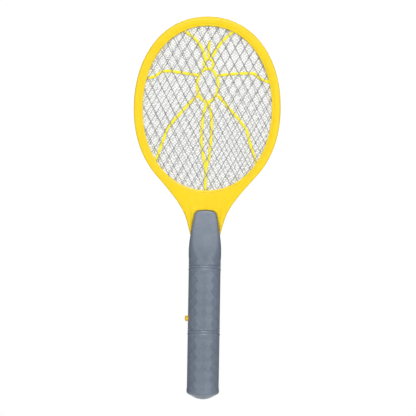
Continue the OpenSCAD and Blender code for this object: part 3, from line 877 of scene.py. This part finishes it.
def grip_relief(theta, z):
    """Depth below the handle's surface of the grip's diamonds: flattened, with ridges between them."""
    u = (theta + math.pi / 2) * GRIP_ROUND / (2 * math.pi)
    v = z / GRIP_TALL - GRIP_PHASE
    d = 2 * np.abs(u - np.round(u)) + 2 * np.abs(v - np.round(v))
    d = np.where(d > 1, 2 - d, d)
    facing = smoothstep(0.1, 0.5, np.abs(np.sin(theta)))
    depth = GRIP_INSET + facing * (GRIP_RISE - GRIP_HOLLOW * d**2)
    fade = smoothstep(*GRIP_FADE_IN, z) * (1 - smoothstep(*GRIP_FADE_OUT, z))
    return depth * fade * smoothstep(3.2, 4.8, from_ring(z))


# Each double ring, from below: (height, depth) of its slopes and steps
RING_STEPS = [(-2.9, 0.0), (-1.4, 0.55), (-1.2, 0.8), (-0.9, 0.8), (-0.6, 0.45), (-0.3, 0.45), (0.2, 0.0),
              (0.4, 0.0), (1.9, 0.55), (2.1, 0.8), (2.5, 0.8), (3.0, 0.0)]


def ring_relief(z):
    """Depth of the double rings: two grooves, steep above and sloped below."""
    heights, depths = zip(*RING_STEPS)
    return float(np.interp(z - RING_LOW_Z, heights, depths) + np.interp(z - RING_HIGH_Z, heights, depths))


def section_radii(theta, w, d, power):
    """Radii at the angles theta of a superelliptic section."""
    return (np.abs(np.cos(theta) / w) ** power + np.abs(np.sin(theta) / d) ** power) ** (-1 / power)


def arched_row(theta, radii, z, rise=0.0):
    """Points of one row of the handle's surface, lower at the sides where the tongues' tips arch."""
    row = zip(radii * np.cos(theta), radii * np.sin(theta))
    return [(x, y, z + rise - tongue_sag(x, z)) for x, y in row]


def handle_rows():
    """(height, radius) of the outer surface's rows; only those of the domed end have a radius."""
    slope = math.radians(END_SLOPE)
    rows = [(END_R * (1 - math.cos(a)), END_R * math.sin(a)) for a in np.linspace(0.01, slope, 18)]
    cone_r = GRIP_R - END_CORNER * (1 - math.sin(slope))
    cone_z = rows[-1][0] + (cone_r - rows[-1][1]) * math.tan(slope)
    rows += [(rows[-1][0] * (1 - f) + cone_z * f, rows[-1][1] * (1 - f) + cone_r * f)
             for f in (0.25, 0.5, 0.75)]
    corner_z = cone_z + END_CORNER * math.cos(slope)
    for a in np.linspace(slope - math.pi / 2, 0, 11):
        rows.append((corner_z + END_CORNER * math.sin(a),
                     GRIP_R - END_CORNER + END_CORNER * math.cos(a)))
    z = corner_z + 0.5
    while z < 242:
        rows.append((z, None))
        z += 0.12 if from_ring(z) < 3.8 else 0.8
    rows += [(z, None) for z in (242.7, 243.5, 244.2, TONGUE_BEVEL_Z, 245.6, TONGUE_TIP_Z)]
    return rows


def handle_outside(columns=300):
    theta = np.linspace(0, 2 * np.pi, columns, endpoint=False)
    verts = []
    for z, end_radius in handle_rows():
        if end_radius is None:
            radii = section_radii(theta, half_width(z), half_depth(z), section_power(z))
            verts += arched_row(theta, radii - grip_relief(theta, z) - ring_relief(z), z)
        else:
            verts += arched_row(theta, end_radius, z)
    # Bevel round the tongues' tips, then the flat top
    z = TONGUE_TIP_Z
    for rise, pull_w, pull_d in ((0.2, 0.4, 0.2), (0.35, 0.9, 0.6), (0.5, 1.7, 1.2), (0.6, 3.2, 2.1)):
        radii = section_radii(theta, half_width(z) - pull_w, half_depth(z) - pull_d, section_power(z))
        verts += arched_row(theta, radii, z, rise)
    return new_object("handle_outside", verts, tube_faces(len(verts) // columns, columns))


def handle_inside(columns=72):
    """The hollow inside the handle, as a solid to cut with."""
    theta = np.linspace(0, 2 * np.pi, columns, endpoint=False)
    rows = [(2.7, 6.0), (3.8, 10.0), (5.8, 14.0), (8.6, 17.4), (10.5, GRIP_R - WALL)]
    rows += [(z, None) for z in (40, 84, 120, 160, *range(186, 246, 5))]
    verts = []
    for z, radius in rows:
        if radius is None:
            radii = section_radii(theta, half_width(z) - WALL, half_depth(z) - WALL, section_power(z))
        else:
            radii = radius
        verts += [(x, y, z) for x, y in zip(radii * np.cos(theta), radii * np.sin(theta))]
    return new_object("handle_inside", verts, tube_faces(len(rows), columns))


def neck_slots():
    return [block("slot", (-40, -SEAT_Y - 0.05, NECK_Z - 0.1), (40, SEAT_Y + 0.05, 260)),
            block("slot", (-TANG_HALF_W - 0.1, -SLOT_HALF_T, TANG_Z - 5),
                  (TANG_HALF_W + 0.1, SLOT_HALF_T, NECK_Z + 1))]


def door_space(gap):
    """The part of the handle that is battery door, widened by gap."""
    return block("door_space", (-DOOR_HALF_W - gap, DOOR_Y - gap, -2),
                 (DOOR_HALF_W + gap, 40, DOOR_TOP + gap))


def seam_cutters():
    """Fine line down each side, where the two shells meet."""
    cutters = []
    for side in (-1, 1):
        x0, x1 = sorted((side * (GRIP_R - SEAM_DEPTH), side * (GRIP_R + 2)))
        cutters.append(block("seam", (x0, -SEAM_HALF_W, 8.0), (x1, SEAM_HALF_W, NECK_Z + 1)))
    return cutters


def thumb_grooves():
    """Short grooves across the battery door, for the thumb that slides it."""
    return [block("groove", (-GROOVE_HALF_W, GRIP_R - GROOVE_DEPTH, z), (GROOVE_HALF_W, 40, z + GROOVE_H))
            for z in np.arange(61, 74, 2 * GROOVE_H)]


outside = handle_outside()
inside = handle_inside()
cut(inside, [block("shoulder", (-40, -SLOT_HALF_T, NECK_Z - WALL), (40, SLOT_HALF_T, NECK_Z))])
shell = cut(outside, [inside])
door = duplicate(shell, "sliding_battery_door")
cut(shell, neck_slots() + seam_cutters())
button_z = (button_low.z + button_high.z) / 2
button_hole = (-40, 0, button_z), (-5, 0, button_z), BUTTON_R + BUTTON_CLEARANCE

rear_shell = duplicate(shell, "handle_shell_rear")
front_shell = shell
front_shell.name = "handle_shell_front"
cut(front_shell, [block("half", (-60, 0.0, -5), (60, 60, 270)), rod("hole", *button_hole)])
cut(rear_shell, [block("half", (-60, -60, -5), (60, 0.0, 270)), door_space(DOOR_GAP),
                 rod("hole", *button_hole),
                 *screw_wells("handle_screws", HANDLE_SHANK_R, HANDLE_WELL_R, HANDLE_HEAD_T)])
cut(door, [door_space(0.0)], "INTERSECT")
cut(door, thumb_grooves())

finish_piece(front_shell, grey_plastic, "root", "handle_plastic", "handle_front")
finish_piece(rear_shell, grey_plastic, "root", "handle_plastic", "handle_rear")
finish_piece(door, grey_plastic, "door", "handle_plastic", "battery_door")


# ---------------------------------------------------------------- button and cells

def button_cap():
    """Domed push button with its stem and the flange that keeps it in the handle."""
    tip, flange_end = button_low.x, button_high.x
    r, flange_r = BUTTON_R, (button_high.z - button_low.z) / 2
    profile = [(0.02, tip), (1.2, tip + 0.05), (2.2, tip + 0.2), (3.0, tip + 0.48), (3.5, tip + 0.85),
               (3.8, tip + 1.3), (3.95, tip + 1.8), (r, tip + 2.3), (r, flange_end - 1.35),
               (r + 0.1, flange_end - 1.2), (flange_r - 0.2, flange_end - 1.2),
               (flange_r, flange_end - 1.0), (flange_r, flange_end - 0.2),
               (flange_r - 0.2, flange_end), (0.02, flange_end)]
    obj = revolve("push_button", profile, (0, 0, button_z), "X", 64)
    return finish_piece(obj, button_plastic, "button", "button_plastic", "power_button")


def battery_cell(name, node, up):
    """AA cell: crimped sleeve with rolled shoulders, and the positive nub at one end."""
    low, high = box_mm(node)
    centre = (low + high) / 2
    r, length = (high.x - low.x) / 2, high.z - low.z
    profile = [(0.02, 0.0), (4.4, 0.0), (4.7, 0.25), (r - 0.9, 0.25), (r - 0.3, 0.5), (r, 1.0),
               (r, length - 2.7), (r - 0.3, length - 1.9), (r - 1.0, length - 1.6),
               (r - 2.4, length - 1.5), (2.9, length - 1.4), (2.75, length - 1.2),
               (2.72, length - 0.3), (2.5, length - 0.02), (0.02, length)]
    if not up:
        profile = [(radius, length - h) for radius, h in profile][::-1]
    obj = revolve(name, profile, (centre.x, centre.y, low.z), "Z", 72)
    ends = (low.z, high.z) if up else (high.z, low.z)
    return finish_piece(obj, cell_sleeve(*ends), "root", "cell_sleeve", node)


button_cap()
battery_cell("aa_cell_left", "battery_left", True)
battery_cell("aa_cell_right", "battery_right", False)

# The CAD nodes that stay are inside the handle or in its recesses: each gets its material
for entry in frame["record"]["subparts"]:
    node = frame["nodes"][entry["node"]]
    if node.hide_render or entry["material_slot"] not in SLOT_MATERIALS:
        continue
    if not node.data.materials:
        node.data.materials.append(None)
    for i in range(len(node.material_slots)):
        node.material_slots[i].material = SLOT_MATERIALS[entry["material_slot"]]


# ---------------------------------------------------------------- floor, light and camera

def area_light(name, at, target, size, power):
    data = bpy.data.lights.new(name, "AREA")
    data.shape = "RECTANGLE"
    data.size, data.size_y = size
    data.energy = power
    obj = bpy.data.objects.new(name, data)
    obj.location = at
    obj.rotation_euler = (Vector(target) - Vector(at)).to_track_quat("-Z", "Y").to_euler()
    bpy.context.scene.collection.objects.link(obj)


def split_by_camera(nodes, links, lighting, seen, out):
    """What the camera sees directly is one shader; what lights and reflects is another."""
    path = nodes.new("ShaderNodeLightPath")
    mix = nodes.new("ShaderNodeMixShader")
    links.new(path.outputs["Is Camera Ray"], mix.inputs["Fac"])
    links.new(lighting, mix.inputs[1])
    links.new(seen, mix.inputs[2])
    links.new(mix.outputs["Shader"], out.inputs["Surface"])


def white_surroundings():
    """White behind the object, and a dim cool light all round it."""
    world = bpy.data.worlds.new("studio")
    bpy.context.scene.world = world
    world.use_nodes = True
    nodes, links = world.node_tree.nodes, world.node_tree.links
    ambient = nodes["Background"]
    ambient.inputs["Color"].default_value = (0.97, 0.985, 1.0, 1)
    ambient.inputs["Strength"].default_value = 0.2
    backdrop = nodes.new("ShaderNodeBackground")
    backdrop.inputs["Color"].default_value = (1, 1, 1, 1)
    backdrop.inputs["Strength"].default_value = 1.05
    split_by_camera(nodes, links, ambient.outputs["Background"], backdrop.outputs["Background"],
                    nodes["World Output"])


def pale_floor():
    """Floor far below, which the camera sees as plain white."""
    half, z = 40.0, -0.9
    mesh = bpy.data.meshes.new("floor")
    mesh.from_pydata([(-half, -half, z), (half, -half, z), (half, half, z), (-half, half, z)],
                     [], [(0, 1, 2, 3)])
    floor = bpy.data.objects.new("floor", mesh)
    bpy.context.scene.collection.objects.link(floor)
    mat, nodes, links, shader, where = node_material("pale_floor")
    grain = noise_node(nodes, links, where, 4.0)
    links.new(ramp_node(nodes, links, grain, [(0.0, (0.9, 0.9, 0.9)), (1.0, (0.94, 0.94, 0.94))]),
              shader.inputs["Base Color"])
    shader.inputs["Roughness"].default_value = 0.9
    white = nodes.new("ShaderNodeEmission")
    split_by_camera(nodes, links, shader.outputs["BSDF"], white.outputs["Emission"],
                    nodes["Material Output"])
    mesh.materials.append(mat)


def softboxes():
    middle = (0, 0, 0.25)
    area_light("top_softbox", (0.1, -2.2, 1.9), middle, (1.3, 1.2), 31)
    area_light("low_fill", (0.1, -1.3, -0.6), (0, 0, 0.1), (1.6, 0.5), 2.2)
    area_light("right_softbox", (1.42, -1.95, 0.75), middle, (2.1, 2.7), 23.5)
    area_light("left_softbox", (-1.27, -2.06, 0.75), middle, (1.8, 2.7), 17)
    area_light("rear_softbox", (0.0, 2.4, 1.3), middle, (1.6, 1.8), 62)


def camera():
    """Square to the front, far back, rolled a little as the swatter leans to the right at the top."""
    distance, frame_w, roll = 2.5, 0.5437, -0.92
    data = bpy.data.cameras.new("camera")
    data.sensor_width = 36.0
    data.lens = data.sensor_width * distance / frame_w
    cam = bpy.data.objects.new("camera", data)
    cam.location = (0.0031, -distance, 0.2500)
    cam.rotation_euler = (math.radians(90), math.radians(roll), 0)
    bpy.context.scene.collection.objects.link(cam)
    bpy.context.scene.camera = cam


bpy.context.scene.view_settings.view_transform = "Standard"
bpy.context.scene.view_settings.look = "None"
white_surroundings()
pale_floor()
softboxes()
camera()
